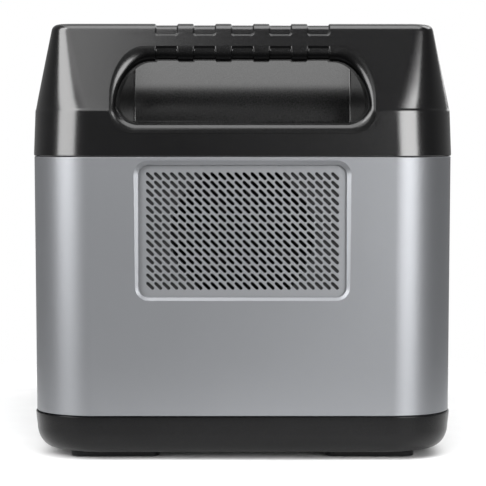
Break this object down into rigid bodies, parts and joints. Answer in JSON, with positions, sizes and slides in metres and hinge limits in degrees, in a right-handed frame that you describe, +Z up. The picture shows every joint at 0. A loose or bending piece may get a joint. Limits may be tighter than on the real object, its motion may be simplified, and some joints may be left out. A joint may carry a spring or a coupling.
{
  "type": "power station",
  "caption": "Portable power station: silver case, black base and top with a carrying handle over a well at each end, vents, fans, socket panel, storage lid.",
  "frame": {"origin": "middle of the underside of the foot pads, at floor level", "axes": "+Z up, Y along the long axis with the intake vent facing -Y, control panel in the +X side"},
  "size_m": [0.2624, 0.384, 0.27],
  "materials": {
    "black_plastic": "fine moulded grain",
    "case_silver": "satin",
    "grille_silver": "satin",
    "rubber": "matt",
    "grey_plastic": "matt",
    "board_green": "lacquered",
    "wrap_blue": "shrink wrap",
    "display_glass": "clear",
    "bare_aluminium": "extruded",
    "brass": "plated",
    "steel": "plated",
    "filter_foam": "open-cell foam"
  },
  "bodies": {
    "housing": {"base_screw_1": "steel", "base_screw_2": "steel", "base_screw_3": "steel", "base_screw_4": "steel", "base_tray": "black_plastic", "battery_board": "board_green", "battery_cradle": "grey_plastic", "battery_pack": "wrap_blue", "battery_strap_1": "steel", "battery_strap_2": "steel", "body_sleeve": "case_silver", "cable_tray": "black_plastic", "car_socket": "black_plastic", "car_socket_contact": "brass", "charge_inlet": "black_plastic", "chassis_plate": "steel", "control_panel": "black_plastic", "dc_port_1": "black_plastic", "dc_port_2": "black_plastic", "display_board": "board_green", "display_lens": "display_glass", "display_module": "grey_plastic", "dust_filter_exhaust": "filter_foam", "dust_filter_intake": "filter_foam", "fan_frame_exhaust": "black_plastic", "fan_frame_intake": "black_plastic", "foot_pad_1": "rubber", "foot_pad_2": "rubber", "foot_pad_3": "rubber", "foot_pad_4": "rubber", "handle_liner_exhaust": "black_plastic", "handle_liner_intake": "black_plastic", "heat_sink": "bare_aluminium", "inverter_board": "board_green", "lid_hinge_pin_1": "steel", "lid_hinge_pin_2": "steel", "mains_outlet_1": "grey_plastic", "mains_outlet_2": "grey_plastic", "top_cover": "black_plastic", "transformer": "grey_plastic", "usb_a_port_1": "steel", "usb_a_port_2": "steel", "usb_c_port_1": "steel", "usb_c_port_2": "steel", "vent_grille_exhaust": "grille_silver", "vent_grille_intake": "grille_silver"},
    "storage_lid": {"storage_lid": "black_plastic"},
    "intake_rotor": {"fan_rotor_intake": "black_plastic"},
    "exhaust_rotor": {"fan_rotor_exhaust": "black_plastic"},
    "display_key": {"display_button": "grey_plastic"},
    "usb_key": {"usb_button": "grey_plastic"},
    "dc_key": {"dc_button": "grey_plastic"},
    "ac_key": {"ac_button": "grey_plastic"},
    "socket_cap": {"car_socket_cap": "rubber"},
    "inlet_flap": {"inlet_flap": "rubber"}
  },
  "joints": [
    {"name": "lid_hinge", "type": "hinge", "parent": "housing", "child": "storage_lid", "pos_m": [-0.1035, 0, 0.2659], "axis": [0, -1, 0], "range_deg": [0, 100]},
    {"name": "intake_fan_spin", "type": "hinge", "parent": "housing", "child": "intake_rotor", "pos_m": [0, -0.1735, 0.14], "axis": [0, -1, 0], "continuous": true},
    {"name": "exhaust_fan_spin", "type": "hinge", "parent": "housing", "child": "exhaust_rotor", "pos_m": [0, 0.1735, 0.14], "axis": [0, 1, 0], "continuous": true},
    {"name": "display_press", "type": "slide", "parent": "housing", "child": "display_key", "axis": [-1, 0, 0], "range_m": [0, 0.0015], "stiffness_N_per_m": 400},
    {"name": "usb_press", "type": "slide", "parent": "housing", "child": "usb_key", "axis": [-1, 0, 0], "range_m": [0, 0.0015], "stiffness_N_per_m": 400},
    {"name": "dc_press", "type": "slide", "parent": "housing", "child": "dc_key", "axis": [-1, 0, 0], "range_m": [0, 0.0015], "stiffness_N_per_m": 400},
    {"name": "ac_press", "type": "slide", "parent": "housing", "child": "ac_key", "axis": [-1, 0, 0], "range_m": [0, 0.0015], "stiffness_N_per_m": 400},
    {"name": "socket_cap_hinge", "type": "hinge", "parent": "housing", "child": "socket_cap", "pos_m": [0.1299, -0.098, 0.1575], "axis": [0, -1, 0], "range_deg": [0, 110]},
    {"name": "inlet_flap_hinge", "type": "hinge", "parent": "housing", "child": "inlet_flap", "pos_m": [0.1298, -0.098, 0.0885], "axis": [0, -1, 0], "range_deg": [0, 110]}
  ]
}
